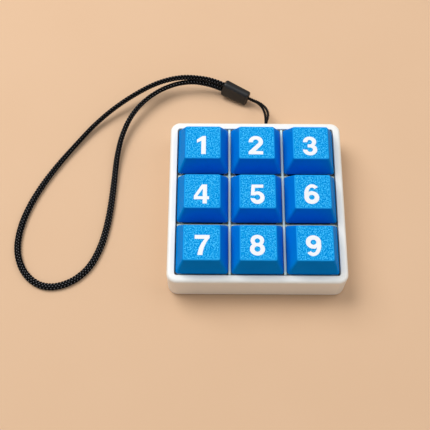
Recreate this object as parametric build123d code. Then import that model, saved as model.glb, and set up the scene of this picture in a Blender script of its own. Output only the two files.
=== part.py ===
from build123d import *
import os
from math import cos, pi, radians, sin, sqrt, tan

# Macro keypad: nine low-profile keys in a small white case, with a wrist lanyard at the back.
# Millimetres. +X is to the right, +Y to the back, +Z up. The origin is on the table, under the case's middle.

# Key grid
columns = 3
rows = 3
key_pitch = 19.05
key_travel = 3.2

# Keycaps
cap_gap = 1.05            # between the skirts of two neighbours
cap_height = 9.0
cap_side_draw = 2.75      # how far each flank leans in from skirt to top
cap_front_draw = 1.64
cap_back_draw = 3.6
cap_wall = 1.2
cap_ceiling = 1.5
cap_base_corner = 1.0
cap_top_corner = 0.75
cap_edge_round = 0.5
cap_post_diameter = 5.5
skirt_clearance = 0.5     # left under the skirt when the key is fully down

# Switches
stem_flange = 9.0
stem_flange_thickness = 1.35
stem_side_gap = 0.3
stem_stop_gap = 0.05
stem_floor_gap = 0.2
neck_width = 6.8
neck_depth = 5.6
neck_gap = 0.2
neck_rise = 0.3           # shoulder above the housing
cross_length = 4.0
cross_bar = 1.2
cross_height = 3.6
cross_fit = 0.025
cross_end_gap = 0.2
base_wall = 1.35
base_floor = 0.8
base_flange_lip = 0.55
base_flange_thickness = 0.8
base_post_diameter = 3.2
base_post_proud = 0.2
housing_inset = 0.2
housing_wall = 0.9
housing_roof = 1.0
housing_corner = 0.8

# Springs and contacts inside each switch
spring_wire = 0.3
spring_mean_diameter = 3.6
spring_turns = 6
spring_bore_gap = 0.35
spring_bore_rise = 0.65   # bore depth above the stem's flange
spring_boss_diameter = 2.6
spring_boss_height = 0.8
contact_space = 1.1       # room beside the stem's flange
contact_thickness = 0.2
contact_width = 2.6
contact_height = 1.9
contact_gap = 0.3
contact_pin_width = 0.9
contact_pin_proud = 0.6
contact_slot_gap = 0.1
contact_button_diameter = 0.8
contact_button_height = 0.15

# Case
cap_rim_gap = 0.4
rim_width = 2.7
rim_lap = 0.2             # rim above the skirts
case_corner = 3.5
rim_outer_round = 1.1
rim_inner_round = 0.3
opening_corner = 0.9
ledge_width = 1.8
ledge_thickness = 1.5
cover_thickness = 1.2
cover_lap = 0.9
cover_clearance = 0.15

# Plate and circuit board
plate_thickness = 1.2
plate_clearance = 0.3
cutout_clearance = 0.05
plate_boss_wall = 1.05
rib_gap = 0.15            # from a rib to the skirts on both sides of it
rib_drop = 0.1            # ribs between the columns, below the skirts' bottom edge
row_rib_drop = 1.2        # ribs between the rows, below the skirts' bottom edge
board_thickness = 1.2
board_clearance = 0.4
board_to_plate = 1.0

# Screws, posts and feet
screw_diameter = 1.9
screw_length = 6.0
screw_head_diameter = 3.6
screw_head_height = 1.2
screw_recess_depth = 0.6
screw_recess_length = 1.8
screw_recess_bar = 0.5
screw_hole_gap = 0.2
screw_thread_gap = 0.05
screw_tip_gap = 0.2
post_wall = 1.0
post_floor = 1.5          # height of the counterbore's seat above the case's underside
foot_diameter = 7.0
foot_proud = 0.5
foot_recess = 0.6
foot_recess_gap = 0.1
foot_edge = 6.1

# Parts on the board's underside
usb_width = 8.94
usb_height = 3.26
usb_corner = 1.25
usb_wall = 0.3
usb_depth = 7.0
usb_recess = 0.3          # mouth behind the case's back face
usb_cut_gap = 0.3
usb_floor_gap = 0.24
usb_tab_lap = 1.8         # board tab past the board's back edge
usb_tab_margin = 1.0
tongue_width = 6.7
tongue_thickness = 0.7
tongue_length = 4.4
tongue_base = 1.5
tongue_fit = 0.05
chip_size = 7.0
chip_height = 0.9
diode_length = 2.7
diode_width = 1.6
diode_height = 1.1
diode_offset_x = -4.0
diode_offset_y = -5.5

# Lanyard
cord_diameter = 2.0
string_diameter = 0.85
string_x = 4.35
string_hole_spacing = 2.2
string_hole_gap = 0.15
string_drop = 0.3         # upper hole's axis below the switch flanges' top
string_slack = 0.1
string_lead = 2.4         # straight stretch outside the wall
string_notch_gap = 0.4
bead_length = 10.8
bead_side_wall = 1.0      # beside the cord's bores
bead_top_wall = 0.9       # above and below them
bead_web = 0.2            # between them
bead_taper = 0.5          # both ways across, from the loop's end to the string's end
bead_edge_round = 1.4
bead_end_round = 0.9
bead_bore_depth = 3.0
bead_bore_gap = 0.05
bead_string_offset = 0.25  # middle of the string's bores, off the bead's axis
bead_string_spread = 0.45  # each string bore from that middle, both ways across
bead_lead = 2.2           # straight stretch outside the bead
bead_table_gap = 0.02
bead_spot = (-6.9, 50.0)
bead_heading = -26.0
bead_tilt = 6.0
bead_roll = -24.0
bend_share = 0.45

# The loop's free points, from the bead's upper bore round to its lower bore
loop_points = [
    (-20.0, 54.6, 6.8),
    (-28.5, 54.8, 7.2),
    (-37.5, 52.9, 6.0),
    (-46.0, 48.3, 4.9),
    (-54.0, 42.8, 3.5),
    (-61.5, 36.0, 2.1),
    (-68.0, 27.8, 1.2),
    (-73.9, 19.7, 1.0),
    (-79.2, 11.0, 1.0),
    (-83.4, 2.0, 1.0),
    (-86.0, -7.2, 1.0),
    (-86.2, -16.5, 1.0),
    (-82.4, -24.8, 1.0),
    (-75.4, -29.4, 1.0),
    (-67.0, -28.2, 1.0),
    (-60.0, -22.8, 1.0),
    (-56.0, -14.6, 1.0),
    (-53.9, -5.3, 1.0),
    (-52.9, 4.2, 1.0),
    (-52.4, 13.5, 1.1),
    (-51.9, 22.6, 2.0),
    (-50.3, 31.5, 3.1),
    (-46.7, 40.3, 4.1),
    (-40.5, 47.5, 4.7),
    (-32.6, 52.3, 5.0),
    (-25.0, 54.2, 5.0),
    (-18.8, 53.8, 4.3),
]

# The string's free points: the upper strand from bead to wall, then the lower strand from wall to bead
upper_string_points = [
    (1.7, 45.8, 3.75),
    (3.3, 44.1, 4.6),
    (4.6, 41.7, 5.7),
    (5.15, 38.9, 7.0),
    (4.9, 36.2, 8.2),
]
lower_string_points = [
    (4.6, 36.1, 6.3),
    (4.7, 38.7, 5.4),
    (4.25, 41.5, 4.4),
    (3.25, 44.1, 3.4),
    (1.7, 46.1, 2.65),
]

# Heights, from the table up
case_bottom = foot_proud
cover_top = case_bottom + cover_thickness
usb_bottom = cover_top + usb_floor_gap
board_bottom = usb_bottom + usb_height
board_top = board_bottom + board_thickness
plate_bottom = board_top + board_to_plate
plate_top = plate_bottom + plate_thickness
floor_top = board_top + base_floor
flange_top = plate_top + base_flange_thickness
stem_bottom = floor_top + stem_floor_gap + key_travel
stem_top = stem_bottom + stem_flange_thickness
housing_ceiling = stem_top + stem_stop_gap
housing_top = housing_ceiling + housing_roof
shoulder = housing_top + neck_rise
cross_top = shoulder + cross_height
spring_top = stem_top + spring_bore_rise
cap_bottom = flange_top + key_travel + skirt_clearance
cap_top = cap_bottom + cap_height
rim_top = cap_bottom + rim_lap
rib_top = cap_bottom - rib_drop
row_rib_top = cap_bottom - row_rib_drop
screw_seat = case_bottom + post_floor
screw_tip = screw_seat + screw_length
string_high = flange_top - string_drop
string_low = string_high - string_hole_spacing

# Widths
cap_base = key_pitch - cap_gap
opening = (columns - 1) * key_pitch + cap_base + 2 * cap_rim_gap
opening_depth = (rows - 1) * key_pitch + cap_base + 2 * cap_rim_gap
case_width = opening + 2 * rim_width
case_depth = opening_depth + 2 * rim_width
ledge_opening = opening - 2 * ledge_width
ledge_opening_depth = opening_depth - 2 * ledge_width
cover_width = opening + 2 * cover_lap
cover_depth = opening_depth + 2 * cover_lap
cover_corner = case_corner - (case_width - cover_width) / 2
plate_width = opening - 2 * plate_clearance
plate_depth = opening_depth - 2 * plate_clearance
rib_width = cap_gap - 2 * rib_gap
board_width = ledge_opening - 2 * board_clearance
board_depth = ledge_opening_depth - 2 * board_clearance
cavity = stem_flange + 2 * contact_space
base_size = cavity + 2 * base_wall
base_flange = base_size + 2 * base_flange_lip
cutout = base_size + 2 * cutout_clearance
stem_guide = stem_flange + 2 * stem_side_gap
housing_base = base_flange - 2 * housing_inset
housing_crown = stem_guide + 2 * housing_wall
spring_bore = spring_mean_diameter + spring_wire + 2 * spring_bore_gap
leaf_x = stem_flange / 2 + contact_gap
fixed_x = leaf_x + contact_thickness + contact_gap
screw_clear = screw_diameter + 2 * screw_hole_gap
screw_thread = screw_diameter + 2 * screw_thread_gap
plate_boss = screw_thread + 2 * plate_boss_wall
counterbore = screw_head_diameter + 2 * screw_hole_gap
post_diameter = counterbore + 2 * post_wall
usb_x = -key_pitch / 2
usb_z = usb_bottom + usb_height / 2
usb_mouth = case_depth / 2 - usb_recess
string_hole = string_diameter + 2 * string_hole_gap
wall_inside = opening_depth / 2
string_turn = wall_inside - string_hole_spacing / 2 - string_slack
string_notch = string_diameter + 2 * string_notch_gap
string_notch_front = string_turn - string_diameter / 2 - string_notch_gap
bead_cord_bore = cord_diameter + 2 * bead_bore_gap
bead_string_bore = string_diameter + 2 * bead_bore_gap
bead_cord_spacing = bead_cord_bore + bead_web
bead_thickness = bead_cord_bore + 2 * bead_side_wall
bead_height = bead_cord_spacing + bead_cord_bore + 2 * bead_top_wall

# Bores across the bead's section, the upper one first
cord_bores = [(0, bead_cord_spacing / 2), (0, -bead_cord_spacing / 2)]
string_bores = [
    (bead_string_offset - bead_string_spread, bead_string_offset + bead_string_spread),
    (bead_string_offset + bead_string_spread, bead_string_offset - bead_string_spread),
]

# Keys are counted from the back left, row by row, as on the caps
key_spots = []
for row in range(rows):
    for column in range(columns):
        spot_x = (column - (columns - 1) / 2) * key_pitch
        spot_y = ((rows - 1) / 2 - row) * key_pitch
        key_spots.append((spot_x, spot_y))

# A screw stands at each crossing of the gaps between keys, a foot near each corner of the cover
screw_spots = [(x * key_pitch / 2, y * key_pitch / 2) for x in (-1, 1) for y in (-1, 1)]
foot_x = cover_width / 2 - foot_edge
foot_y = cover_depth / 2 - foot_edge
foot_spots = [(x * foot_x, y * foot_y) for x in (-1, 1) for y in (-1, 1)]


def block(width, depth, bottom, top, corner=0.0):
    outline = RectangleRounded(width, depth, corner) if corner > 0 else Rectangle(width, depth)
    return Pos(0, 0, bottom) * extrude(outline, top - bottom)


def rod(diameter, bottom, top):
    return Pos(0, 0, bottom) * extrude(Circle(diameter / 2), top - bottom)


def cross(length, bar, bottom, top):
    return block(length, bar, bottom, top) + block(bar, length, bottom, top)


def at_spots(solid, spots):
    return [Pos(x, y, 0) * solid for x, y in spots]


def group(solids):
    return Compound(children=solids)


# Keycaps
def cap_section(height, inset, corner):
    share = height / cap_height
    width = cap_base - 2 * (cap_side_draw * share + inset)
    depth = cap_base - (cap_front_draw + cap_back_draw) * share - 2 * inset
    shift = (cap_front_draw - cap_back_draw) * share / 2
    return Pos(0, shift, cap_bottom + height) * RectangleRounded(width, depth, corner)


def make_keycap():
    skirt = cap_section(0, 0, cap_base_corner)
    crown = cap_section(cap_height, 0, cap_top_corner)
    outer = loft([skirt, crown], ruled=True)
    outer = fillet(outer.faces().sort_by(Axis.Z)[-1].edges(), cap_edge_round)
    hollow_height = cap_height - cap_ceiling
    hollow = loft(
        [cap_section(0, cap_wall, cap_base_corner), cap_section(hollow_height, cap_wall, cap_top_corner)],
        ruled=True,
    )
    post = rod(cap_post_diameter, shoulder, cap_bottom + hollow_height)
    socket = cross(
        cross_length + 2 * cross_fit,
        cross_bar + 2 * cross_fit,
        shoulder,
        cross_top + cross_end_gap,
    )
    return outer - hollow + (post - socket)


# Switches
def make_stem():
    flange = block(stem_flange, stem_flange, stem_bottom, stem_top)
    neck = block(neck_width, neck_depth, stem_top, shoulder)
    stem = flange + neck + cross(cross_length, cross_bar, shoulder, cross_top)
    return stem - rod(spring_bore, stem_bottom, spring_top)


def make_switch_top():
    foot = Pos(0, 0, flange_top) * RectangleRounded(housing_base, housing_base, housing_corner)
    crown = Pos(0, 0, housing_top) * RectangleRounded(housing_crown, housing_crown, housing_corner)
    shell = loft([foot, crown], ruled=True)
    guide = block(stem_guide, stem_guide, flange_top, housing_ceiling)
    mouth = block(neck_width + 2 * neck_gap, neck_depth + 2 * neck_gap, housing_ceiling, housing_top)
    return shell - guide - mouth


def contact_slot(x):
    width = contact_thickness + 2 * contact_slot_gap
    slot = block(width, contact_pin_width + 2 * contact_slot_gap, board_top, floor_top)
    return Pos(x + contact_thickness / 2, 0, 0) * slot


def make_switch_base():
    body = block(base_size, base_size, board_top, plate_top)
    flange = block(base_flange, base_flange, plate_top, flange_top, housing_corner)
    boss = rod(spring_boss_diameter, floor_top, floor_top + spring_boss_height)
    post = rod(base_post_diameter, board_bottom - base_post_proud, board_top)
    base = body + flange - block(cavity, cavity, floor_top, flange_top)
    return base + boss + post - contact_slot(leaf_x) - contact_slot(fixed_x)


def make_contact(x, facing):
    blade = block(contact_thickness, contact_width, floor_top, floor_top + contact_height)
    pin = block(contact_thickness, contact_pin_width, board_bottom - contact_pin_proud, floor_top)
    button = Plane(
        origin=(facing * contact_thickness / 2, 0, floor_top + contact_height - contact_button_diameter),
        z_dir=(facing, 0, 0),
    ) * extrude(Circle(contact_button_diameter / 2), contact_button_height)
    return Pos(x + contact_thickness / 2, 0, 0) * (blade + pin + button)


def biarc(start, start_way, end, end_way):
    span = end - start
    ways = start_way + end_way
    spread = 2 * (1 - start_way.dot(end_way))
    reach = (sqrt(span.dot(ways) ** 2 + spread * span.dot(span)) - span.dot(ways)) / spread
    first_knee = start + start_way * reach
    second_knee = end - end_way * reach
    middle = (first_knee + second_knee) / 2
    first_arc = TangentArc(start, middle, tangent=start_way)
    second_arc = TangentArc(middle, end, tangent=second_knee - first_knee)
    return [first_arc, second_arc]


def make_spring():
    radius = spring_mean_diameter / 2
    low = floor_top + spring_wire / 2
    rise = (spring_top - spring_wire / 2 - low) / spring_turns
    slope = rise / (2 * pi * radius)

    def coil_point(half_turn):
        angle = pi * half_turn
        return Vector(radius * cos(angle), radius * sin(angle), low + rise * half_turn / 2)

    def coil_way(half_turn):
        angle = pi * half_turn
        return Vector(-sin(angle), cos(angle), slope).normalized()

    arcs = []
    for half_turn in range(2 * spring_turns):
        arcs += biarc(
            coil_point(half_turn), coil_way(half_turn), coil_point(half_turn + 1), coil_way(half_turn + 1)
        )
    path = Wire(arcs)
    section = Plane(origin=path @ 0, z_dir=path % 0) * Circle(spring_wire / 2)
    print(f"spring: {spring_turns} turns, gap between turns {rise - spring_wire:.2f} mm")
    return sweep(section, path=path)


# Case
def usb_outline(gap):
    return RectangleRounded(usb_width + 2 * gap, usb_height + 2 * gap, usb_corner + gap)


def usb_plane(y):
    return Plane(origin=(usb_x, y, usb_z), x_dir=(1, 0, 0), z_dir=(0, -1, 0))


def string_hole_cut(z):
    mouth = Plane(origin=(string_x, case_depth / 2, z), x_dir=(1, 0, 0), z_dir=(0, -1, 0))
    return mouth * extrude(Circle(string_hole / 2), rim_width)


def string_notch_cut(bottom, top):
    depth = wall_inside - string_notch_front
    return Pos(string_x, string_notch_front + depth / 2, 0) * block(string_notch, depth, bottom, top)


def make_case_frame():
    shell = block(case_width, case_depth, case_bottom, rim_top, case_corner)
    shell = fillet(shell.faces().sort_by(Axis.Z)[-1].edges(), rim_outer_round)
    well = block(opening, opening_depth, plate_bottom, rim_top, opening_corner)
    shell = shell - well
    rim_edges = shell.faces().filter_by(Axis.Z).sort_by(Axis.Z)[-1].inner_wires()[0].edges()
    shell = fillet(rim_edges, rim_inner_round)
    ledge_bottom = plate_bottom - ledge_thickness
    shell -= block(ledge_opening, ledge_opening_depth, ledge_bottom, plate_bottom, opening_corner)
    shell -= block(opening, opening_depth, cover_top, ledge_bottom, opening_corner)
    recess_width = cover_width + 2 * cover_clearance
    recess_depth = cover_depth + 2 * cover_clearance
    shell -= block(recess_width, recess_depth, case_bottom, cover_top, cover_corner + cover_clearance)
    shell -= usb_plane(case_depth / 2) * extrude(usb_outline(usb_cut_gap), rim_width)
    tab_gap = usb_width + 2 * (usb_tab_margin + board_clearance)
    shell -= Pos(usb_x, wall_inside - ledge_width / 2, 0) * block(tab_gap, ledge_width, ledge_bottom, plate_bottom)
    for z in (string_low, string_high):
        shell -= string_hole_cut(z)
    return shell - string_notch_cut(ledge_bottom, plate_bottom)


def make_switch_plate():
    plate = block(plate_width, plate_depth, plate_bottom, plate_top, opening_corner)
    for window in at_spots(block(cutout, cutout, plate_bottom, plate_top), key_spots):
        plate -= window
    for boss in at_spots(rod(plate_boss, board_top, plate_bottom), screw_spots):
        plate += boss
    for hole in at_spots(rod(screw_thread, board_top, screw_tip + screw_tip_gap), screw_spots):
        plate -= hole
    for gap in range(columns - 1):
        x = (gap - (columns - 2) / 2) * key_pitch
        plate += Pos(x, 0, 0) * block(rib_width, plate_depth, plate_top, rib_top)
    for gap in range(rows - 1):
        y = (gap - (rows - 2) / 2) * key_pitch
        plate += Pos(0, y, 0) * block(plate_width, rib_width, plate_top, row_rib_top)
    return plate - string_notch_cut(plate_bottom, plate_top)


def make_bottom_cover():
    cover = block(cover_width, cover_depth, case_bottom, cover_top, cover_corner)
    for post in at_spots(rod(post_diameter, cover_top, board_bottom), screw_spots):
        cover += post
    for hole in at_spots(rod(screw_clear, screw_seat, board_bottom), screw_spots):
        cover -= hole
    for hole in at_spots(rod(counterbore, case_bottom, screw_seat), screw_spots):
        cover -= hole
    recess = rod(foot_diameter + 2 * foot_recess_gap, case_bottom, case_bottom + foot_recess)
    for hole in at_spots(recess, foot_spots):
        cover -= hole
    return cover


def make_screw():
    head_bottom = screw_seat - screw_head_height
    head = rod(screw_head_diameter, head_bottom, screw_seat)
    recess = cross(screw_recess_length, screw_recess_bar, head_bottom, head_bottom + screw_recess_depth)
    return head - recess + rod(screw_diameter, screw_seat, screw_tip)


def make_foot():
    return rod(foot_diameter, case_bottom - foot_proud, case_bottom + foot_recess)


# Circuit board and what is soldered to it
def make_circuit_board():
    board = block(board_width, board_depth, board_bottom, board_top)
    tab_width = usb_width + 2 * usb_tab_margin
    tab = block(tab_width, usb_tab_lap, board_bottom, board_top)
    board += Pos(usb_x, (board_depth + usb_tab_lap) / 2, 0) * tab
    for hole in at_spots(rod(screw_clear, board_bottom, board_top), screw_spots):
        board -= hole
    post_hole = rod(base_post_diameter + 2 * contact_slot_gap, board_bottom, board_top)
    pin_width = contact_pin_width + 2 * contact_slot_gap
    pin_hole = block(contact_thickness + 2 * contact_slot_gap, pin_width, board_bottom, board_top)
    for hole in at_spots(post_hole, key_spots):
        board -= hole
    for x in (leaf_x, fixed_x):
        for hole in at_spots(Pos(x + contact_thickness / 2, 0, 0) * pin_hole, key_spots):
            board -= hole
    return board


def make_usb_shell():
    can = usb_plane(usb_mouth) * extrude(usb_outline(0), usb_depth)
    hollow = usb_plane(usb_mouth) * extrude(usb_outline(-usb_wall), usb_depth - usb_wall)
    return can - hollow


def make_usb_tongue():
    back = usb_mouth - usb_depth + usb_wall
    base_plane = usb_plane(back + tongue_base)
    base = base_plane * extrude(usb_outline(-usb_wall - tongue_fit), tongue_base)
    tip_plane = usb_plane(back + tongue_base + tongue_length)
    blade = tip_plane * extrude(Rectangle(tongue_width, tongue_thickness), tongue_length)
    return base + blade


def make_chip():
    return Pos(key_pitch / 2, 0, 0) * block(chip_size, chip_size, board_bottom - chip_height, board_bottom)


def make_diode():
    body = block(diode_length, diode_width, board_bottom - diode_height, board_bottom)
    return Pos(diode_offset_x, diode_offset_y, 0) * body


# Lanyard
def tube(name, points, diameter):
    points = [Vector(*point) for point in points]
    radii = []
    for before, corner, after in zip(points, points[1:], points[2:]):
        arriving = corner - before
        leaving = after - corner
        half_turn = radians(arriving.get_angle(leaving)) / 2
        radii.append(bend_share * min(arriving.length, leaving.length) / tan(half_turn))
    path = FilletPolyline(*points, radius=radii)
    solid = sweep(Plane(origin=path @ 0, z_dir=path % 0) * Circle(diameter / 2), path=path)
    expected = pi * diameter**2 / 4 * path.length
    print(f"{name}: length {path.length:.1f} mm, volume {solid.volume:.1f} of {expected:.1f} mm3")
    print(f"{name}: bend radii", [round(radius, 1) for radius in radii])
    return solid


def bead_section(x, taper):
    across = Plane(origin=(x, 0, 0), x_dir=(0, 1, 0), z_dir=(1, 0, 0))
    return across * RectangleRounded(bead_thickness - taper, bead_height - taper, bead_edge_round)


def make_bead_body():
    loop_end = bead_section(-bead_length / 2, 0)
    string_end = bead_section(bead_length / 2, bead_taper)
    body = loft([loop_end, string_end], ruled=True)
    ends = body.faces().sort_by(Axis.X)
    return fillet(ends[0].edges() + ends[-1].edges(), bead_end_round)


def bead_placing():
    turn = Rot(0, 0, bead_heading) * Rot(0, bead_tilt, 0) * Rot(bead_roll, 0, 0)
    lowest = (turn * make_bead_body()).bounding_box().min.Z
    return Pos(bead_spot[0], bead_spot[1], bead_table_gap - lowest) * turn


def bead_bore(diameter, end, spot):
    centre = end * (bead_length - bead_bore_depth) / 2
    return Pos(centre, *spot) * Rot(0, 90, 0) * Cylinder(diameter / 2, bead_bore_depth)


def make_bead(placing):
    bead = make_bead_body()
    for spot in cord_bores:
        bead -= bead_bore(bead_cord_bore, -1, spot)
    for spot in string_bores:
        bead -= bead_bore(bead_string_bore, 1, spot)
    return placing * bead


def bead_lead_points(placing, end, spot):
    depth = end * (bead_length / 2 - bead_bore_depth)
    outside = end * (bead_length / 2 + bead_lead)
    return [tuple((placing * Pos(x, *spot)).position) for x in (depth, outside)]


def make_loop(placing):
    upper, lower = [bead_lead_points(placing, -1, spot) for spot in cord_bores]
    return tube("lanyard loop", upper + loop_points + lower[::-1], cord_diameter)


def make_string(placing):
    upper, lower = [bead_lead_points(placing, 1, spot) for spot in string_bores]
    outside = case_depth / 2 + string_lead
    bight = [
        (string_x, outside, string_high),
        (string_x, string_turn, string_high),
        (string_x, string_turn, string_low),
        (string_x, outside, string_low),
    ]
    points = upper + upper_string_points + bight + lower_string_points + lower[::-1]
    return tube("lanyard string", points, string_diameter)


# Every piece, by the name of its node
pieces = {}
keycap = make_keycap()
stem = make_stem()
spring = make_spring()
switch_top = make_switch_top()
switch_base = make_switch_base()
for number, (x, y) in enumerate(key_spots, start=1):
    pieces[f"keycap_{number}"] = Pos(x, y, 0) * keycap
    pieces[f"switch_stem_{number}"] = Pos(x, y, 0) * stem
    pieces[f"switch_spring_{number}"] = Pos(x, y, 0) * spring
    pieces[f"switch_top_{number}"] = Pos(x, y, 0) * switch_top
    pieces[f"switch_base_{number}"] = Pos(x, y, 0) * switch_base
pieces["contact_leaves"] = group(at_spots(make_contact(leaf_x, 1), key_spots))
pieces["fixed_contacts"] = group(at_spots(make_contact(fixed_x, -1), key_spots))
pieces["case_frame"] = make_case_frame()
pieces["switch_plate"] = make_switch_plate()
pieces["bottom_cover"] = make_bottom_cover()
pieces["cover_screws"] = group(at_spots(make_screw(), screw_spots))
pieces["rubber_feet"] = group(at_spots(make_foot(), foot_spots))
pieces["circuit_board"] = make_circuit_board()
pieces["controller_chip"] = make_chip()
pieces["diodes"] = group(at_spots(make_diode(), key_spots))
pieces["usb_socket_shell"] = make_usb_shell()
pieces["usb_socket_tongue"] = make_usb_tongue()
bead_place = bead_placing()
pieces["lanyard_bead"] = make_bead(bead_place)
pieces["lanyard_loop"] = make_loop(bead_place)
pieces["lanyard_string"] = make_string(bead_place)

os.makedirs("parts", exist_ok=True)
for name, piece in pieces.items():
    export_step(piece, f"parts/{name}.step")
print(f"{len(pieces)} nodes, case {case_width:.2f} x {case_depth:.2f} mm, key tops at {cap_top:.2f} mm")
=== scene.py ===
import math

import bpy
from mathutils import Matrix, Vector


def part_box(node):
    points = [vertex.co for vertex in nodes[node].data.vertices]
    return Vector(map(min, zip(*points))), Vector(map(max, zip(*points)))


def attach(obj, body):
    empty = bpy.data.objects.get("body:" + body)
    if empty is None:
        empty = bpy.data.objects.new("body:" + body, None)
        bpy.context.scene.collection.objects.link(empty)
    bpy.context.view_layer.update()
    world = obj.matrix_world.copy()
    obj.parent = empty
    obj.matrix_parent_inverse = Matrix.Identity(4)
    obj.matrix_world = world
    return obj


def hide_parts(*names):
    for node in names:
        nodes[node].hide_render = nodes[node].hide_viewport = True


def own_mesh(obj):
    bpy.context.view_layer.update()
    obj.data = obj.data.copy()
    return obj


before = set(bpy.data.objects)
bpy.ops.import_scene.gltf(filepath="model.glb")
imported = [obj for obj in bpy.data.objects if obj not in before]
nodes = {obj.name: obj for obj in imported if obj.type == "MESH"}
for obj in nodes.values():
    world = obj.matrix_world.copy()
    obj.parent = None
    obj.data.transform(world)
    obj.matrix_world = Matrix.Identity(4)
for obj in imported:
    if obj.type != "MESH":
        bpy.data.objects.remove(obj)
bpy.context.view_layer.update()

scene = bpy.context.scene
scene.view_settings.view_transform = "Standard"
mm = 0.001
keyNumbers = range(1, 10)
print("frame: loaded", len(nodes), "CAD nodes")

# Camera, at the angle that the object was seen from
shot = {
    "place": (-14.3, -121.2, 278.2),  # mm
    "elevation": 66.53,  # degrees
    "yaw": 0.17,
    "roll": 0.18,
    "lens": 68.74,  # mm
    "sensor": 36.0,
    "clipStart": 0.01,  # m
}


def makeCamera():
    data = bpy.data.cameras.new("camera")
    data.lens = shot["lens"]
    data.sensor_width = shot["sensor"]
    data.clip_start = shot["clipStart"]
    camera = bpy.data.objects.new("camera", data)
    scene.collection.objects.link(camera)
    camera.matrix_world = (
        Matrix.Translation(Vector(shot["place"]) * mm)
        @ Matrix.Rotation(math.radians(shot["yaw"]), 4, "Z")
        @ Matrix.Rotation(math.radians(90 - shot["elevation"]), 4, "X")
        @ Matrix.Rotation(math.radians(shot["roll"]), 4, "Z")
    )
    scene.camera = camera


makeCamera()
print("camera: in place")


# Shared helpers. Those for shaders give back the socket that carries the result
iorOf = {  # typical refractive indices
    "abs": 1.54, "acetal": 1.48, "epoxy": 1.55, "nylon": 1.53, "paint": 1.5, "pbt": 1.57, "polyester": 1.58,
    "rubber": 1.52, "solderMask": 1.56,
}
noiseBand = (0.3, 0.7)  # where nearly all of a noise's values lie
fullRange = (0.0, 1.0)


def linear(hexColour):  # sRGB hex text to the linear values that shaders take
    values = [int(hexColour[i:i + 2], 16) / 255 for i in (1, 3, 5)]
    return (*[v / 12.92 if v <= 0.04045 else ((v + 0.055) / 1.055) ** 2.4 for v in values], 1.0)


def addNode(tree, kind, sockets=None, **settings):
    node = tree.nodes.new("ShaderNode" + kind)
    for name, value in settings.items():
        setattr(node, name, value)
    for name, value in (sockets or {}).items():
        if isinstance(value, bpy.types.NodeSocket):
            tree.links.new(value, node.inputs[name])
        else:
            node.inputs[name].default_value = value
    return node


def startMaterial(name, **sockets):
    material = bpy.data.materials.new(name)
    material.use_nodes = True
    tree = material.node_tree
    tree.nodes.clear()
    shader = addNode(tree, "BsdfPrincipled", {key.replace("_", " "): value for key, value in sockets.items()})
    addNode(tree, "OutputMaterial", {"Surface": shader.outputs["BSDF"]})
    return material, tree, shader


def perMm(size):  # a texture's scale for a pattern of that many mm, in a scene of metres
    return 1 / (size * mm)


def noise(tree, place, size, detail, roughness=0.5):  # size in mm
    return addNode(tree, "TexNoise", {
        "Vector": place, "Scale": perMm(size), "Detail": detail, "Roughness": roughness,
    }).outputs["Fac"]


def bandRange(tree, value, band, ends=fullRange):  # a value's band, spread between the two ends
    return addNode(tree, "MapRange", {
        "Value": value, "From Min": band[0], "From Max": band[1], "To Min": ends[0], "To Max": ends[1],
    }).outputs["Result"]


def toneRamp(tree, value, places, colours):  # colours set at those places of a value, blended between
    ramp = addNode(tree, "ValToRGB", {"Fac": value})
    stops = ramp.color_ramp.elements
    stops[0].position, stops[-1].position = places[0], places[-1]
    for place in places[1:-1]:
        stops.new(place)
    for stop, colour in zip(stops, colours):
        stop.color = linear(colour)
    return ramp.outputs["Color"]


def mixColours(tree, share, first, second):  # a Mix node's colours are its inputs 6 and 7 and its output 2
    return addNode(tree, "Mix", {0: share, 6: first, 7: second}, data_type="RGBA").outputs[2]


def maths(tree, operation, *values):
    return addNode(tree, "Math", dict(enumerate(values)), operation=operation).outputs["Value"]


def bump(tree, height, depth):  # depth in mm
    return addNode(tree, "Bump", {"Height": height, "Strength": 1.0, "Distance": depth * mm}).outputs["Normal"]


def wire(tree, shader, **sockets):
    for name, socket in sockets.items():
        tree.links.new(socket, shader.inputs[name.replace("_", " ")])


def dress(names, material):
    for name in names:
        nodes[name].data.materials.clear()
        nodes[name].data.materials.append(material)


def addPiece(name, mesh, material, body, smooth=True):
    mesh.name = name
    mesh.materials.clear()
    mesh.materials.append(material)
    mesh.polygons.foreach_set("use_smooth", [smooth] * len(mesh.polygons))
    mesh.validate()
    mesh.update()
    piece = bpy.data.objects.new(name, mesh)
    scene.collection.objects.link(piece)
    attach(piece, body)
    return piece


def routeLine(name, controls, perSpan):  # points along the NURBS line that the route's points steer
    curve = bpy.data.curves.new(name + "Route", "CURVE")
    curve.dimensions = "3D"
    curve.resolution_u = perSpan
    spline = curve.splines.new("NURBS")
    spline.points.add(len(controls) - 1)
    for point, place in zip(spline.points, controls):
        point.co = (*(Vector(place) * mm), 1.0)
    spline.order_u = 3
    spline.use_endpoint_u = True
    holder = bpy.data.objects.new(name + "Route", curve)
    scene.collection.objects.link(holder)
    mesh = bpy.data.meshes.new_from_object(holder)
    line = [v.co.copy() for v in mesh.vertices]
    bpy.data.objects.remove(holder)
    bpy.data.meshes.remove(mesh)
    return line


def lineFrames(line):  # for each point: distance along, tangent, level side and the way up
    rows, far = [], 0.0
    for i, point in enumerate(line):
        if i:
            far += (point - line[i - 1]).length
        tangent = (line[min(i + 1, len(line) - 1)] - line[max(i - 1, 0)]).normalized()
        side = Vector((0, 0, 1)).cross(tangent).normalized()
        rows.append((far, tangent, side, tangent.cross(side)))
    return rows


def keyed(stops, share):  # a value eased between the stops (share, value)
    for (s0, v0), (s1, v1) in zip(stops, stops[1:]):
        if share <= s1:
            t = max(0.0, (share - s0) / (s1 - s0))
            return v0 + (v1 - v0) * t * t * (3 - 2 * t)
    return stops[-1][1]


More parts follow.
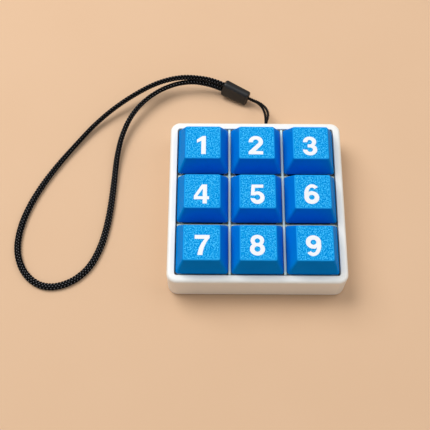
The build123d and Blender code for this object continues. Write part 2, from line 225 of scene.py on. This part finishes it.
def skinTubes(rings, crowns=None):  # one mesh from tubes, each a list of rings with the same number of points
    verts, faces, maps = [], [], []
    for tube in rings:
        first, count = len(verts), len(tube[0])
        for ring in tube:
            verts.extend(ring)
        for i in range(len(tube) - 1):
            for j in range(count):
                k = (j + 1) % count
                a = first + i * count
                faces.append((a + j, a + k, a + count + k, a + count + j))
                maps.append(((j, i), (j + 1, i), (j + 1, i + 1), (j, i + 1)))
        for i, order in ((0, -1), (len(tube) - 1, 1)):
            faces.append([first + i * count + j for j in range(count)][::order])
            maps.append([(0, i)] * count)
    mesh = bpy.data.meshes.new("tubes")
    mesh.from_pydata(verts, [], faces)
    threads = mesh.uv_layers.new(name="threadMap")
    threads.data.foreach_set("uv", [value for corners in maps for pair in corners for value in pair])
    if crowns:  # for each point: how far its yarn stands over the others, and how far out it is on the yarn, which place the painted glints
        standing = mesh.uv_layers.new(name="crownMap")
        standing.data.foreach_set("uv", [value for loop in mesh.loops for value in crowns[loop.vertex_index]])
    return mesh


# Lanyard. The bead is the CAD node; its frame places the ends of both cords
bead = {
    "place": (-6.9, 50.0, 3.394),  # mm
    "heading": -26.0,  # degrees
    "tilt": 6.0,
    "roll": -24.0,
    "length": 10.8,  # mm
    "boreDepth": 3.0,
    "lead": 2.2,
}


def beadPoint(end, outside, spot):  # mm, a point on a bore's axis: on the bore's floor or outside the bead
    turn = (
        Matrix.Rotation(math.radians(bead["heading"]), 3, "Z")
        @ Matrix.Rotation(math.radians(bead["tilt"]), 3, "Y")
        @ Matrix.Rotation(math.radians(bead["roll"]), 3, "X")
    )
    reach = bead["length"] / 2 + bead["lead"] if outside else bead["length"] / 2 - bead["boreDepth"]
    return Vector(bead["place"]) + turn @ Vector((end * reach, *spot))


loopCord = {
    "route": [  # mm, from the bead's upper bore round to its lower bore
        (-20.0, 54.6, 6.8), (-28.5, 54.8, 7.2), (-37.5, 52.9, 6.0), (-46.0, 48.3, 4.9), (-54.0, 42.8, 3.5),
        (-61.5, 36.0, 2.1), (-68.0, 27.8, 1.3), (-73.9, 19.7, 1.1), (-79.2, 11.0, 1.0), (-83.4, 2.0, 0.95),
        (-86.0, -7.2, 0.92), (-86.2, -16.5, 0.92), (-82.4, -24.8, 0.92), (-75.4, -29.4, 0.92),
        (-67.0, -28.2, 0.92), (-60.0, -22.8, 0.95), (-56.0, -14.6, 1.0), (-53.9, -5.3, 1.05), (-52.9, 4.2, 1.1),
        (-52.4, 13.5, 1.2), (-51.9, 22.6, 2.0), (-50.3, 31.5, 3.1), (-46.7, 40.3, 4.1), (-40.5, 47.5, 4.7),
        (-32.6, 52.3, 5.0), (-25.0, 54.2, 5.0), (-18.8, 53.8, 4.3),
    ],
    "bores": [(0, 1.15), (0, -1.15)],  # mm, across the bead's section
    "length": 261.0,
    "width": 2.65,
    "thickness": 1.82,
    "boreDiameter": 2.0,  # the braid is squeezed round where the bead grips it
    "gripShare": 0.035,  # of the length, over which it opens out flat
    "yarns": 8,  # each way
    "yarnThickness": 0.38,
    "yarnCover": 0.86,  # of the room that each yarn has, so that dark lines show between
    "lead": 9.4,  # mm along the cord for one turn of a yarn
    "yarnSides": 6,
    "yarnSideTurn": 0.25,  # of a side
    "waves": 4,  # in one turn: over two yarns, under two
    "wavePhase": 45,  # degrees
    "coreShare": 0.97,  # of the room inside the yarns
    "coreSides": 12,
    "coreStep": 4,  # points of the route from ring to ring
    "turn": [(0.0, 82), (0.2, 70), (0.42, 8), (0.5, 0), (0.62, 0), (0.8, 48), (0.92, 72), (1.0, 82)],  # degrees
    "perSpan": 34,
    "yarn": "#020202",
    "yarnPale": "#070708",
    "crown": "#8A8A8E",  # painted glint: a pale dash where a yarn lies over the others
    "level": 0.05,
    "filament": 0.25,  # of a yarn's girth, one streak of filaments
    "roughness": (0.5, 0.68),
}


def flatOval(halfWidth, halfThick, share):  # point and outward way at a share of a flat oval's edge
    straight = 2 * (halfWidth - halfThick)
    bow = math.pi * halfThick
    far = (share % 1.0) * 2 * (straight + bow)
    if far < bow / 2 or far >= 2 * (straight + bow) - bow / 2:
        angle = far / halfThick if far < bow / 2 else (far - 2 * (straight + bow)) / halfThick
        way = (math.cos(angle), math.sin(angle))
        return (straight / 2 + halfThick * way[0], halfThick * way[1]), way
    far -= bow / 2
    if far < straight:
        return (straight / 2 - far, halfThick), (0.0, 1.0)
    far -= straight
    if far < bow:
        angle = math.pi / 2 + far / halfThick
        way = (math.cos(angle), math.sin(angle))
        return (-straight / 2 + halfThick * way[0], halfThick * way[1]), way
    far -= bow
    return (-straight / 2 + far, -halfThick), (0.0, -1.0)


def braidSections(line):  # for each point: place, tangent, the wide and flat ways, half sizes in mm, distance along
    c = loopCord
    rows = lineFrames(line)
    end = rows[-1][0]
    grip = [(0.0, 0.0), (c["gripShare"], 1.0)]
    sections = []
    for point, (far, tangent, side, up) in zip(line, rows):
        share = far / end
        turn = math.radians(keyed(c["turn"], share))
        if share > 0.5:  # the two halves lean opposite ways
            turn = -turn
        wide = side * math.cos(turn) + up * math.sin(turn)
        spread = keyed(grip, min(share, 1 - share))
        halfWide, halfThick = [
            (c["boreDiameter"] + (c[size] - c["boreDiameter"]) * spread) / 2 - c["yarnThickness"]
            for size in ("width", "thickness")
        ]
        sections.append((point, tangent, wide, tangent.cross(wide), halfWide, halfThick, far))
    return sections


def braidYarn(sections, way, yarn):  # a yarn's rings, and for each point how far it stands over the others and out
    c = loopCord
    halfYarn = c["yarnThickness"] / 2 * mm
    centres, outs, overs = [], [], []
    for point, tangent, wide, flat, halfWide, halfThick, far in sections:
        share = yarn / c["yarns"] + way * far / mm / c["lead"]
        (x, y), (nx, ny) = flatOval(halfWide * mm, halfThick * mm, share)
        out = wide * nx + flat * ny
        over = way * math.cos(2 * math.pi * c["waves"] * share - math.radians(c["wavePhase"]))
        centres.append(point + wide * x + flat * y + out * over * halfYarn)
        outs.append(out)
        overs.append((over + 1) / 2)
    tube, crowns = [], []
    for i, (point, tangent, wide, flat, halfWide, halfThick, far) in enumerate(sections):
        along = (centres[min(i + 1, len(centres) - 1)] - centres[max(i - 1, 0)]).normalized()
        across = along.cross(outs[i]).normalized()
        rise = across.cross(along)
        girth = 2 * (math.pi * halfThick + 2 * (halfWide - halfThick))
        room = girth / c["yarns"] * abs(along.dot(tangent))
        halfWidth = room * c["yarnCover"] / 2 * mm
        ring = []
        for j in range(c["yarnSides"]):
            angle = 2 * math.pi * (j + c["yarnSideTurn"]) / c["yarnSides"]
            ring.append(centres[i] + across * halfWidth * math.cos(angle) + rise * halfYarn * math.sin(angle))
            crowns.append((overs[i], (math.sin(angle) + 1) / 2))
        tube.append(ring)
    return tube, crowns


def braidCore(sections):  # closes the gaps between the yarns from inside
    c = loopCord
    scale = c["coreShare"] * mm
    tube, crowns = [], []
    for point, tangent, wide, flat, halfWide, halfThick, far in sections[::c["coreStep"]]:
        ring = []
        for j in range(c["coreSides"]):
            (x, y), out = flatOval(halfWide * scale, halfThick * scale, j / c["coreSides"])
            ring.append(point + wide * x + flat * y)
            crowns.append((0.0, 0.0))
        tube.append(ring)
    return tube, crowns


def makeLoop(material):
    c = loopCord
    upper, lower = c["bores"]
    controls = [beadPoint(-1, False, upper), beadPoint(-1, True, upper), *c["route"]]
    controls += [beadPoint(-1, True, lower), beadPoint(-1, False, lower)]
    line = routeLine("lanyardLoop", controls, c["perSpan"])
    sections = braidSections(line)
    parts = [braidYarn(sections, way, yarn) for way in (1, -1) for yarn in range(c["yarns"])]
    parts.append(braidCore(sections))
    mesh = skinTubes([tube for tube, crowns in parts], [crown for tube, crowns in parts for crown in crowns])
    piece = addPiece("lanyardLoopBraid", mesh, material, "case")
    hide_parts("lanyard_loop")
    print("lanyard loop:", round(sections[-1][-1] / mm, 1), "mm of braid,", len(mesh.polygons), "faces")


stringCord = {
    "upper": [(1.7, 45.8, 3.75), (3.35, 44.15, 4.6), (4.8, 41.75, 5.7), (5.4, 38.9, 7.0), (5.1, 36.2, 8.2)],  # mm
    "bight": [(4.35, 33.55, 9.1), (4.35, 27.25, 9.1), (4.35, 27.25, 6.9), (4.35, 33.55, 6.9)],
    "lower": [(4.4, 36.1, 6.3), (4.45, 38.7, 5.4), (4.05, 41.45, 4.4), (3.15, 44.05, 3.4), (1.7, 46.1, 2.65)],
    "bores": [(-0.2, 0.7), (0.7, -0.2)],
    "length": 56.5,
    "diameter": 0.95,
    "plies": 3,
    "plyFullness": 1.25,  # plies pressed into each other
    "lay": 2.6,  # mm for one turn of a ply
    "plySides": 8,
    "perSpan": 26,
    "yarn": "#050506",
    "yarnPale": "#161618",
    "level": 0.14,
    "filament": 0.25,
    "roughness": (0.34, 0.5),
}


def makeString(material):
    c = stringCord
    upper, lower = c["bores"]
    controls = [beadPoint(1, False, upper), beadPoint(1, True, upper), *c["upper"], *c["bight"], *c["lower"]]
    controls += [beadPoint(1, True, lower), beadPoint(1, False, lower)]
    line = routeLine("lanyardString", controls, c["perSpan"])
    rows = lineFrames(line)
    plyRadius = c["diameter"] / 2 / (1 + 2 / math.sqrt(3))  # three equal rounds inside one
    offset = c["diameter"] / 2 - plyRadius
    fullRadius = plyRadius * c["plyFullness"] * mm
    tubes = []
    for ply in range(c["plies"]):
        side = rows[0][2]
        tube = []
        for point, (far, tangent, _, _) in zip(line, rows):
            side = (side - tangent * side.dot(tangent)).normalized()  # carried along without a twist of its own
            up = tangent.cross(side)
            angle = 2 * math.pi * (ply / c["plies"] + far / mm / c["lay"])
            centre = point + (side * math.cos(angle) + up * math.sin(angle)) * offset * mm
            ring = []
            for j in range(c["plySides"]):
                turn = angle + 2 * math.pi * j / c["plySides"]
                ring.append(centre + (side * math.cos(turn) + up * math.sin(turn)) * fullRadius)
            tube.append(ring)
        tubes.append(tube)
    piece = addPiece("lanyardStringTwist", skinTubes(tubes), material, "case")
    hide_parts("lanyard_string")
    print("lanyard string:", round(rows[-1][0] / mm, 1), "mm of twist")


yarnLook = {
    "alongScale": 0.12,  # per ring: streaks run long
    "detail": 3.0,
    "toneBand": (0.35, 0.72),  # of the streaks' noise, from the dark tone to the pale one
    "overBand": (0.92, 1.0),  # how far a yarn stands over the others, where the painted glint on its crown begins and is full
    "outerBand": (0.8, 0.95),  # how far out on the yarn, where the painted glint lies
}


def makeYarn(name, values, ior):  # filaments run along each yarn: fine streaks of sheen and shade
    c = yarnLook
    material, tree, shader = startMaterial(name, IOR=ior, Specular_IOR_Level=values["level"])
    threads = addNode(tree, "UVMap", uv_map="threadMap")
    along = addNode(tree, "Mapping", {
        "Vector": threads.outputs["UV"], "Scale": (1 / values["filament"], c["alongScale"], 1),
    })
    streak = addNode(tree, "TexNoise", {
        "Vector": along.outputs["Vector"], "Scale": 1.0, "Detail": c["detail"],
    }).outputs["Fac"]
    colour = toneRamp(tree, streak, c["toneBand"], (values["yarn"], values["yarnPale"]))
    # painted glint: a pale dash laid into the colour on each yarn's crown
    if "crown" in values:
        standing = addNode(tree, "UVMap", uv_map="crownMap")
        parts = addNode(tree, "SeparateXYZ", {"Vector": standing.outputs["UV"]})
        over = bandRange(tree, parts.outputs["X"], c["overBand"])
        outer = bandRange(tree, parts.outputs["Y"], c["outerBand"])
        colour = mixColours(tree, maths(tree, "MULTIPLY", over, outer), colour, linear(values["crown"]))
    wire(tree, shader, Base_Color=colour, Roughness=bandRange(tree, streak, noiseBand, values["roughness"]))
    return material


# braided polyester: near black filament yarns, with a painted glint as a pale dash on each crown
makeLoop(makeYarn("cordPolyesterBraided", loopCord, iorOf["polyester"]))
# twisted nylon: smoother and glossier plies, near black
makeString(makeYarn("stringNylonTwisted", stringCord, iorOf["nylon"]))


# Springs, one in each switch, coiled at their rest length
spring = {
    "bottom": 7.2,  # mm, end faces at rest
    "top": 12.6,
    "pressedHeight": 2.2,
    "meanDiameter": 3.6,
    "wire": 0.3,
    "turns": 6,
    "closedTurns": 1,  # at each end
    "closedPitch": 1.08,  # wire thicknesses
    "stepsPerTurn": 28,
    "wireSides": 8,
    "colour": "#C3C4C8",
    "shade": "#8E9096",
    "roughness": (0.2, 0.34),
    "stretch": (1.0, 1.0, 1.0),
}


def makeSprings(material):
    c = spring
    closedRise = c["wire"] * c["closedPitch"]
    start, end = c["bottom"] + c["wire"] / 2, c["top"] - c["wire"] / 2
    openTurns = c["turns"] - 2 * c["closedTurns"]
    openRise = (end - start - 2 * c["closedTurns"] * closedRise) / openTurns
    tube = []
    for i in range(c["turns"] * c["stepsPerTurn"] + 1):
        turn = i / c["stepsPerTurn"]
        first = min(turn, c["closedTurns"])
        last = max(0.0, turn - c["turns"] + c["closedTurns"])
        z = start + (first + last) * closedRise + (turn - first - last) * openRise
        angle = 2 * math.pi * turn
        out = Vector((math.cos(angle), math.sin(angle), 0))
        centre = out * c["meanDiameter"] / 2 + Vector((0, 0, z))
        ring = []
        for j in range(c["wireSides"]):
            turned = 2 * math.pi * j / c["wireSides"]
            ring.append((centre + (out * math.cos(turned) + Vector((0, 0, math.sin(turned)))) * c["wire"] / 2) * mm)
        tube.append(ring)
    for n in keyNumbers:
        low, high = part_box(f"switch_spring_{n}")
        middle = Vector(((low.x + high.x) / 2, (low.y + high.y) / 2, 0))
        mesh = skinTubes([[[point + middle for point in ring] for ring in tube]])
        piece = addPiece(f"switchSpringCoil_{n}", mesh, material, "case")
        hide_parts(f"switch_spring_{n}")
        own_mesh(piece)
    print("springs:", len(keyNumbers), "coils of", c["turns"], "turns")


# Digits, moulded into the cap tops. Outlines in mm, each standing on y = 0
digit = {
    "baseline": -5.8,  # mm, from the key's middle
    "shifts": [  # mm, each digit's own place on its cap
        (-0.55, 0.0), (-0.39, 0.0), (-0.32, -0.15), (-0.29, 0.0), (-0.12, 0.07), (-0.46, 0.18), (0.15, 0.22),
        (-0.36, 0.26), (-0.62, 0.2),
    ],
    "slimmer": 0.07,  # mm, taken off all round
    "capTop": 22.1,
    "sunk": 0.03,
    "proud": 0.03,
    "arcStep": 6,  # degrees
    "fewestSteps": 4,  # in an arc
    "bendSteps": 12,
    "height": 7.35,
    "colour": "#EFF0F3",
    "shade": "#E8EBF0",
    "grain": 0.5,  # mm; a moulded skin's ripple, drawn coarser so that it shows
    "depth": 0.01,
    "roughness": (0.42, 0.56),
    "level": 0.3,
}


def arc(cx, cy, rx, ry, start, end):
    count = max(digit["fewestSteps"], round(abs(end - start) / digit["arcStep"]))
    angles = [math.radians(start + (end - start) * i / count) for i in range(count + 1)]
    return [(cx + rx * math.cos(a), cy + ry * math.sin(a)) for a in angles]


def bend(p0, p1, p2, p3):
    points = []
    for i in range(digit["bendSteps"] + 1):
        t = i / digit["bendSteps"]
        u = 1 - t
        parts = (u ** 3, 3 * u * u * t, 3 * u * t * t, t ** 3)
        points.append(tuple(sum(k * p[axis] for k, p in zip(parts, (p0, p1, p2, p3))) for axis in (0, 1)))
    return points


def digitOutlines():
    six = [
        [
            *arc(0.2, 3.6, 2.83, 3.88, 43, 180), *arc(0, 2.37, 2.62, 2.49, 180, 466),
            *arc(0.15, 4.3, 1.12, 1.8, 175, 43),
        ],
        arc(0, 2.45, 0.9, 0.85, 0, 354),
    ]
    return {
        1: [[(-0.08, 0), (1.66, 0), (1.66, 7.35), (0.45, 7.35), (-1.66, 5.85), (-1.66, 4.45), (-0.08, 5.25)]],
        2: [[
            (-2.6, 4.8), *arc(0.05, 5.05, 2.62, 2.42, 184, -28), (0.06, 1.42), (2.62, 1.42), (2.62, 0), (-2.62, 0),
            (-2.62, 1.15), *arc(0, 5.05, 0.95, 0.85, -35, 184), (-0.94, 4.8),
        ]],
        3: [[
            *arc(-0.05, 5.35, 2.4, 2.12, 187, -42), *arc(0, 2.2, 2.6, 2.32, 48, -184),
            *arc(0, 2.2, 0.9, 0.82, 178, 450), (-0.9, 3.02), (-0.9, 4.4), *arc(-0.05, 5.22, 0.75, 0.82, -90, 187),
        ]],
        4: [
            [(0.37, 0), (1.96, 0), (1.96, 1.59), (2.67, 1.59), (2.67, 2.88), (1.96, 2.88), (1.96, 7.35), (0.1, 7.35),
             (-2.67, 2.95), (-2.67, 1.59), (0.37, 1.59)],
            [(0.37, 2.88), (0.37, 5.5), (-1.25, 2.88)],
        ],
        5: [[
            (-2.0, 7.35), (2.16, 7.35), (2.16, 5.99), (-0.72, 5.99), (-0.85, 4.55),
            *arc(0.05, 2.33, 2.5, 2.45, 108, -176), *arc(0, 2.45, 0.9, 0.95, 198, 510), (-0.8, 3.1), (-2.35, 3.1),
        ]],
        6: six,
        7: [[
            (-2.59, 7.35), (2.59, 7.35), *bend((2.59, 6.2), (1.2, 4.6), (0.4, 2.3), (0.2, 0)),
            *bend((-1.6, 0), (-1.4, 2.2), (-0.6, 4.2), (0.73, 5.8)), (-2.59, 5.8),
        ]],
        8: [
            [*arc(0, 5.35, 2.35, 2.13, -40.4, 220.4), *arc(0, 2.25, 2.6, 2.37, 133.5, 406.5)],
            arc(0, 5.25, 0.82, 0.78, 0, 354),
            arc(0, 2.3, 0.92, 0.93, 0, 354),
        ],
        9: [[(-x, digit["height"] - y) for x, y in outline] for outline in six],
    }


def makeDigits(material):
    c = digit
    thickness = c["sunk"] + c["proud"]
    for n, outlines in digitOutlines().items():
        curve = bpy.data.curves.new(f"digit_{n}", "CURVE")
        curve.dimensions = "2D"
        curve.fill_mode = "BOTH"
        curve.extrude = thickness / 2
        curve.offset = -c["slimmer"]
        for outline in outlines:
            spline = curve.splines.new("POLY")
            spline.points.add(len(outline) - 1)
            for point, (x, y) in zip(spline.points, outline):
                point.co = (x, y, 0, 1)
            spline.use_cyclic_u = True
        holder = bpy.data.objects.new(f"digit_{n}", curve)
        scene.collection.objects.link(holder)
        mesh = bpy.data.meshes.new_from_object(holder)
        bpy.data.objects.remove(holder)
        low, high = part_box(f"keycap_{n}")
        shift = c["shifts"][n - 1]
        x = (low.x + high.x) / 2 / mm + shift[0]
        y = (low.y + high.y) / 2 / mm + c["baseline"] + shift[1]
        mesh.transform(Matrix.Translation((x, y, c["capTop"] + (c["proud"] - c["sunk"]) / 2)))
        mesh.transform(Matrix.Scale(mm, 4))
        addPiece(f"keyDigit_{n}", mesh, material, f"key_{n}", smooth=False)
    print("digits: 1 to 9 on the cap tops")


# Moulded plastics and rubber, from one recipe: two tones, a grain with a depth, and a range of gloss
mouldedLook = {
    "cloud": 9,  # grains across one patch of shade
    "detail": 2.0,
    "grainRoughness": 0.6,
    "level": 0.5,
}


def makeMoulded(name, values, ior):
    c = mouldedLook
    level = values.get("level", c["level"])
    material, tree, shader = startMaterial(name, IOR=ior, Specular_IOR_Level=level)
    place = addNode(tree, "TexCoord").outputs["Object"]
    varied = cloud = noise(tree, place, values["grain"] * c["cloud"], c["detail"])
    if "depth" in values:  # a polished mould leaves no grain to feel
        varied = noise(tree, place, values["grain"], c["detail"], c["grainRoughness"])
        wire(tree, shader, Normal=bump(tree, varied, values["depth"]))
    tone = toneRamp(tree, cloud, noiseBand, (values["shade"], values["colour"]))
    wire(tree, shader, Base_Color=tone, Roughness=bandRange(tree, varied, noiseBand, values["roughness"]))
    return material


# Drawn, stamped and plated metals: streaks along the way that the metal was worked
metalLook = {
    "grain": 0.3,  # mm
    "detail": 3.0,
    "toneBand": (0.3, 0.6),  # of the streaks' noise, from the shade to the full colour
}


def makeMetal(name, values):
    c = metalLook
    material, tree, shader = startMaterial(name, Metallic=1.0)
    place = addNode(tree, "TexCoord").outputs["Object"]
    worked = addNode(tree, "Mapping", {"Vector": place, "Scale": values["stretch"]})
    streak = noise(tree, worked.outputs["Vector"], c["grain"], c["detail"])
    tone = toneRamp(tree, streak, c["toneBand"], (values["shade"], values["colour"]))
    wire(tree, shader, Base_Color=tone, Roughness=bandRange(tree, streak, noiseBand, values["roughness"]))
    return material


# Keycaps
cap = {
    "side": "#008AE5",
    "sideShade": "#0083DD",
    "top": "#029AE2",
    "fleck": "#50C6FA",
    "pit": "#007CD0",
    # painted highlight: this paler blue stands in for the highlights on the rounded edges
    "edge": "#1E9CEA",
    "grain": 0.45,  # mm; the spark texture is about 0.15 mm, drawn coarser so that it shows
    "grainDetail": 2.0,
    "grainRoughness": 0.65,
    "speckStops": (0.38, 0.5, 0.64),  # of the grain's noise: pit, top and fleck
    "cloud": 6.0,  # mm
    "cloudDetail": 1.0,
    "depth": 0.03,
    "roughness": (0.38, 0.6),  # flank and top
    "level": 0.004,  # more lays a pale veil over the flanks
    "topBand": (0.985, 0.998),  # upward part of the normal where the grained top begins and is full
    "edgeHighlightBand": (0.4, 0.8),  # the same for the painted highlight, a paler blue laid on the rounded edges and on faces that slope upward
}


def makeCapMaterial():
    # moulded PBT: saturated blue, smooth flanks, a spark-grained top with pale specks; the paler rounded edges are a
    # painted highlight
    c = cap
    material, tree, shader = startMaterial("capPbtMoulded", IOR=iorOf["pbt"], Specular_IOR_Level=c["level"])
    place = addNode(tree, "TexCoord").outputs["Object"]
    normal = addNode(tree, "NewGeometry").outputs["Normal"]
    upward = addNode(tree, "SeparateXYZ", {"Vector": normal}).outputs["Z"]
    onTop = bandRange(tree, upward, c["topBand"])
    onEdgeHighlight = bandRange(tree, upward, c["edgeHighlightBand"])
    grain = noise(tree, place, c["grain"], c["grainDetail"], c["grainRoughness"])
    cloud = noise(tree, place, c["cloud"], c["cloudDetail"])
    specks = toneRamp(tree, grain, c["speckStops"], (c["pit"], c["top"], c["fleck"]))
    flank = mixColours(tree, cloud, linear(c["sideShade"]), linear(c["side"]))
    # painted highlight: the paler edge blue, laid where the normal leans halfway up, on rounded edges and sloping
    # faces
    rounded = mixColours(tree, onEdgeHighlight, flank, linear(c["edge"]))
    wire(
        tree, shader,
        Base_Color=mixColours(tree, onTop, rounded, specks),
        Roughness=bandRange(tree, onTop, fullRange, c["roughness"]),
        Normal=bump(tree, maths(tree, "MULTIPLY", grain, onTop), c["depth"]),
    )
    return material


dress([f"keycap_{n}" for n in keyNumbers], makeCapMaterial())
# second shot of the mould: white, flush and matt
makeDigits(makeMoulded("digitPbtMoulded", digit, iorOf["pbt"]))
print("keys: caps and digits dressed")

# Case, plate and cover. Grain sizes and depths in mm, drawn coarser where the real one is too fine to show
case = {"colour": "#F7F5EF", "shade": "#F3F1EA", "grain": 2.4, "roughness": (0.31, 0.35)}
plate = {"colour": "#E1F4EC", "shade": "#DBEFE6", "grain": 0.4, "depth": 0.008, "roughness": (0.45, 0.6)}
cover = {"colour": "#EFEEEC", "shade": "#E8E7E5", "grain": 0.5, "depth": 0.03, "roughness": (0.5, 0.65)}
# polished mould: satin white, a faint ripple
dress(["case_frame"], makeMoulded("caseAbsMoulded", case, iorOf["abs"]))
# plain mould: matt white, faintly green
dress(["switch_plate"], makeMoulded("plateAbsMoulded", plate, iorOf["abs"]))
# spark-eroded mould: sandy matt white
dress(["bottom_cover"], makeMoulded("coverAbsMoulded", cover, iorOf["abs"]))

# Switches
housing = {"colour": "#1D1D20", "shade": "#141416", "grain": 0.35, "depth": 0.012, "roughness": (0.4, 0.58)}
stem = {"colour": "#6B4127", "shade": "#5C361F", "grain": 0.8, "depth": 0.004, "roughness": (0.26, 0.36)}
contact = {"colour": "#DDBB6C", "shade": "#B8934A", "roughness": (0.22, 0.36), "stretch": (1.0, 1.0, 0.1)}
housings = [f"switch_{part}_{n}" for part in ("top", "base") for n in keyNumbers]
stems = [f"switch_stem_{n}" for n in keyNumbers]
# glass-filled nylon: grey-black, faintly sandy
dress(housings, makeMoulded("switchNylonMoulded", housing, iorOf["nylon"]))
# acetal: waxy brown
dress(stems, makeMoulded("stemAcetalMoulded", stem, iorOf["acetal"]))
# rolled strip: lines along the blade
dress(["contact_leaves", "fixed_contacts"], makeMetal("contactBrassStamped", contact))
# drawn wire: bright, faintly mottled
makeSprings(makeMetal("springSteelDrawn", spring))
print("switches: housings, stems, contacts and springs dressed")

# Underside
screw = {"colour": "#C4C7CB", "shade": "#9DA0A6", "roughness": (0.24, 0.4), "stretch": (1.0, 1.0, 1.0)}
foot = {
    "colour": "#222223", "shade": "#1A1A1B", "grain": 0.3, "depth": 0.03, "roughness": (0.7, 0.85), "level": 0.3,
}
# zinc plate: pale, slightly clouded
dress(["cover_screws"], makeMetal("screwSteelPlated", screw))
# rubber: dull black, finely pebbled
dress(["rubber_feet"], makeMoulded("footRubberMoulded", foot, iorOf["rubber"]))

# Circuit board and what is soldered to it
board = {
    "mask": "#0F6A3C",
    "maskShade": "#0B5630",
    "track": "#1E8A52",
    "pitch": 1.6,  # mm
    "crossPitches": 4,  # from one cross track to the next
    "trackShare": 0.03,  # of that length
    "depth": 0.02,
    "roughness": 0.32,
}
chip = {"colour": "#1A1A1C", "shade": "#121213", "grain": 0.3, "depth": 0.01, "roughness": (0.5, 0.66)}
diode = {"colour": "#202022", "shade": "#161617", "grain": 0.25, "depth": 0.01, "roughness": (0.45, 0.6)}
socket = {"colour": "#CDCED0", "shade": "#A4A6AA", "roughness": (0.18, 0.32), "stretch": (0.15, 1.0, 1.0)}
tongue = {"plastic": "#17171A", "gold": "#E0B85A", "pitch": 0.5, "span": 5.6, "roughness": 0.4}


def makeBoardMask():
    # solder mask over etched copper: glossy green, the tracks showing as paler lines
    c = board
    material, tree, shader = startMaterial("boardSolderMask", Roughness=c["roughness"], IOR=iorOf["solderMask"])
    tracks = addNode(tree, "TexBrick", {
        "Vector": addNode(tree, "TexCoord").outputs["Object"],
        "Color1": linear(c["mask"]), "Color2": linear(c["maskShade"]), "Mortar": linear(c["track"]),
        "Scale": perMm(c["pitch"] * c["crossPitches"]), "Mortar Size": c["trackShare"],
        "Brick Width": 1.0, "Row Height": 1 / c["crossPitches"],
    })
    wire(tree, shader, Base_Color=tracks.outputs["Color"], Normal=bump(tree, tracks.outputs["Fac"], c["depth"]))
    return material


def makeTongue():
    # moulded nylon with a row of gold contacts: dull black, bright stripes at the contact pitch
    c = tongue
    material, tree, shader = startMaterial("tongueNylonMoulded", Roughness=c["roughness"], IOR=iorOf["nylon"])
    low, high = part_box("usb_socket_tongue")
    place = addNode(tree, "TexCoord").outputs["Object"]
    x = addNode(tree, "SeparateXYZ", {"Vector": place}).outputs["X"]
    across = maths(tree, "SUBTRACT", x, (low.x + high.x) / 2)
    within = maths(tree, "LESS_THAN", maths(tree, "ABSOLUTE", across), c["span"] / 2 * mm)
    wave = maths(tree, "PINGPONG", across, c["pitch"] / 2 * mm)
    stripe = maths(tree, "GREATER_THAN", wave, c["pitch"] / 4 * mm)
    gilt = maths(tree, "MULTIPLY", stripe, within)
    colour = mixColours(tree, gilt, linear(c["plastic"]), linear(c["gold"]))
    wire(tree, shader, Base_Color=colour, Metallic=gilt)
    return material


dress(["circuit_board"], makeBoardMask())
# moulding compound: matt black, sandy
dress(["controller_chip"], makeMoulded("chipEpoxyMoulded", chip, iorOf["epoxy"]))
# the same, a little greyer
dress(["diodes"], makeMoulded("diodeEpoxyMoulded", diode, iorOf["epoxy"]))
# rolled sheet: fine streaks
dress(["usb_socket_shell"], makeMetal("socketSteelStamped", socket))
dress(["usb_socket_tongue"], makeTongue())
print("underside, board and socket dressed")

# Bead
beadSkin = {"colour": "#0C0B0B", "shade": "#080808", "grain": 0.6, "roughness": (0.42, 0.5)}
# satin mould: black, softly lit along its edges
dress(["lanyard_bead"], makeMoulded("beadAbsMoulded", beadSkin, iorOf["abs"]))
print("bead dressed")

# Floor and light
studio = {
    "floor": "#DFBB99",
    "floorShade": "#DCB794",
    "floorSize": 3.0,  # m
    "floorDrop": 0.02,  # mm, so that no face lies in the floor
    "floorCloud": 40,  # mm
    "floorDetail": 3.0,
    "floorRoughness": 0.75,
    "floorLevel": 0.2,
    "lamps": {  # way towards the lamp, distance in m, width in m, power in W
        "keyLamp": ((-0.5, 0.4, 1.0), 0.9, 0.6, 5.7),
        "fillLamp": ((1.0, 0.3, 1.4), 0.9, 0.8, 1.8),
    },
    "sky": "#FFFFFF",
    "horizon": 0.27,
    "zenith": 0.45,
}


def makeFloor():
    s = studio
    half = s["floorSize"] / 2
    mesh = bpy.data.meshes.new("floor")
    mesh.from_pydata([(-half, -half, 0), (half, -half, 0), (half, half, 0), (-half, half, 0)], [], [(0, 1, 2, 3)])
    floor = bpy.data.objects.new("floor", mesh)
    floor.location.z = -s["floorDrop"] * mm
    scene.collection.objects.link(floor)
    # matt paint on a board: pale tan, hardly clouded
    material, tree, shader = startMaterial(
        "floorPaintMatt", Roughness=s["floorRoughness"], IOR=iorOf["paint"], Specular_IOR_Level=s["floorLevel"],
    )
    cloud = noise(tree, addNode(tree, "TexCoord").outputs["Object"], s["floorCloud"], s["floorDetail"])
    wire(tree, shader, Base_Color=mixColours(tree, cloud, linear(s["floorShade"]), linear(s["floor"])))
    mesh.materials.append(material)


def makeLamps():
    for name, (way, distance, size, power) in studio["lamps"].items():
        lamp = bpy.data.lights.new(name, "AREA")
        lamp.shape = "DISK"
        lamp.size = size
        lamp.energy = power
        holder = bpy.data.objects.new(name, lamp)
        scene.collection.objects.link(holder)
        way = Vector(way).normalized()
        holder.location = way * distance
        holder.rotation_mode = "QUATERNION"
        holder.rotation_quaternion = way.to_track_quat("Z", "Y")


def makeSky():
    world = bpy.data.worlds.new("studioWorld")
    scene.world = world
    world.use_nodes = True
    tree = world.node_tree
    tree.nodes.clear()
    direction = addNode(tree, "TexCoord").outputs["Generated"]
    height = addNode(tree, "SeparateXYZ", {"Vector": direction}).outputs["Z"]
    strength = bandRange(tree, height, fullRange, (studio["horizon"], studio["zenith"]))
    sky = addNode(tree, "Background", {"Color": linear(studio["sky"]), "Strength": strength})
    addNode(tree, "OutputWorld", {"Surface": sky.outputs["Background"]})


makeFloor()
makeLamps()
makeSky()
print("studio: floor, lamps and sky set")
